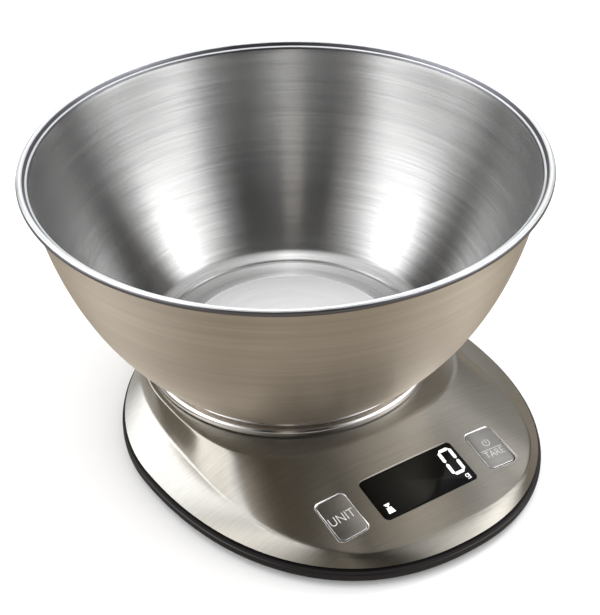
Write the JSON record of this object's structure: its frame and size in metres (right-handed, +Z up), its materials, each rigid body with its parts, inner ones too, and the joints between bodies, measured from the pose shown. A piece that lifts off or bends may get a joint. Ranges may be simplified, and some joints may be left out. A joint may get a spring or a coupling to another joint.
{
  "type": "kitchen scale",
  "caption": "Electronic kitchen scale: lift-off brushed steel mixing bowl on an egg-shaped steel-topped base with a sloping dark display, two flush keys, load-cell feet and a battery bay.",
  "frame": {"origin": "on the ground plane, at the middle of the whole object's box; the bowl's axis stands 9.85 mm behind it, at y = +0.00985", "axes": "+Z up, +X to the right of the display, -Y towards the user, where the display and the keys are"},
  "size_m": [0.235, 0.2548, 0.1338],
  "materials": {
    "bowl_steel": "fine horizontal brushing",
    "polished_steel": "polished",
    "cover_steel": "fine straight brushing",
    "key_steel": "fine straight brushing",
    "black_plastic": "satin moulded ABS",
    "liner_plastic": "matt moulded ABS",
    "window_gloss": "gloss acrylic, dark",
    "lcd_glass": "gloss",
    "lcd_segments": "lit white segments",
    "key_print": "printed pale grey lettering",
    "backlight_white": "milky diffuser",
    "board_green": "green solder mask",
    "switch_black": "moulded",
    "sensor_alloy": "ground spring steel",
    "white_plastic": "moulded",
    "foot_rubber": "matt rubber",
    "cell_jacket": "printed blue jacket, no marks",
    "contact_nickel": "nickel plated",
    "screw_steel": "zinc plated",
    "wire_red": "PVC insulation",
    "connector_white": "moulded"
  },
  "bodies": {
    "base": {"top_cover": "cover_steel", "upper_housing": "liner_plastic", "lower_housing": "black_plastic", "display_window": "window_gloss", "display_bezel": "liner_plastic", "lcd_module": "lcd_glass", "backlight": "backlight_white", "lcd_connector": "connector_white", "main_board": "board_green", "unit_switch": "switch_black", "tare_switch": "switch_black", "foot_pad_front_left": "foot_rubber", "foot_front_left": "black_plastic", "load_cell_holder_front_left": "white_plastic", "load_cell_front_left": "sensor_alloy", "sensor_wire_front_left": "wire_red", "foot_pad_front_right": "foot_rubber", "foot_front_right": "black_plastic", "load_cell_holder_front_right": "white_plastic", "load_cell_front_right": "sensor_alloy", "sensor_wire_front_right": "wire_red", "foot_pad_back_left": "foot_rubber", "foot_back_left": "black_plastic", "load_cell_holder_back_left": "white_plastic", "load_cell_back_left": "sensor_alloy", "sensor_wire_back_left": "wire_red", "foot_pad_back_right": "foot_rubber", "foot_back_right": "black_plastic", "load_cell_holder_back_right": "white_plastic", "load_cell_back_right": "sensor_alloy", "sensor_wire_back_right": "wire_red", "housing_screw_front_left": "screw_steel", "housing_screw_front_right": "screw_steel", "housing_screw_middle_left": "screw_steel", "housing_screw_middle_right": "screw_steel", "housing_screw_back_left": "screw_steel", "housing_screw_back_right": "screw_steel", "board_screw_left": "screw_steel", "board_screw_right": "screw_steel", "battery_holder": "black_plastic", "battery_lead": "wire_red", "battery_1": "cell_jacket", "battery_spring_1": "contact_nickel", "contact_plate_1": "contact_nickel", "battery_2": "cell_jacket", "battery_spring_2": "contact_nickel", "contact_plate_2": "contact_nickel"},
    "bowl": {"bowl": "bowl_steel", "bowl_foot_ring": "polished_steel"},
    "unit_key": {"unit_key": "key_steel"},
    "tare_key": {"tare_key": "key_steel"},
    "battery_door": {"battery_door": "black_plastic"}
  },
  "joints": [
    {"name": "bowl_lift", "type": "slide", "parent": "base", "child": "bowl", "axis": [0, 0, 1], "range_m": [0, 0.16]},
    {"name": "unit_key_press", "type": "slide", "parent": "base", "child": "unit_key", "axis": [0.0681, 0.2181, -0.9735], "range_m": [0, 0.0005], "stiffness_N_per_m": 1200},
    {"name": "tare_key_press", "type": "slide", "parent": "base", "child": "tare_key", "axis": [-0.0681, 0.2181, -0.9735], "range_m": [0, 0.0005], "stiffness_N_per_m": 1200},
    {"name": "battery_door_swing", "type": "hinge", "parent": "base", "child": "battery_door", "pos_m": [0, -0.00435, 0.003], "axis": [-1, 0, 0], "range_deg": [0, 70]}
  ]
}
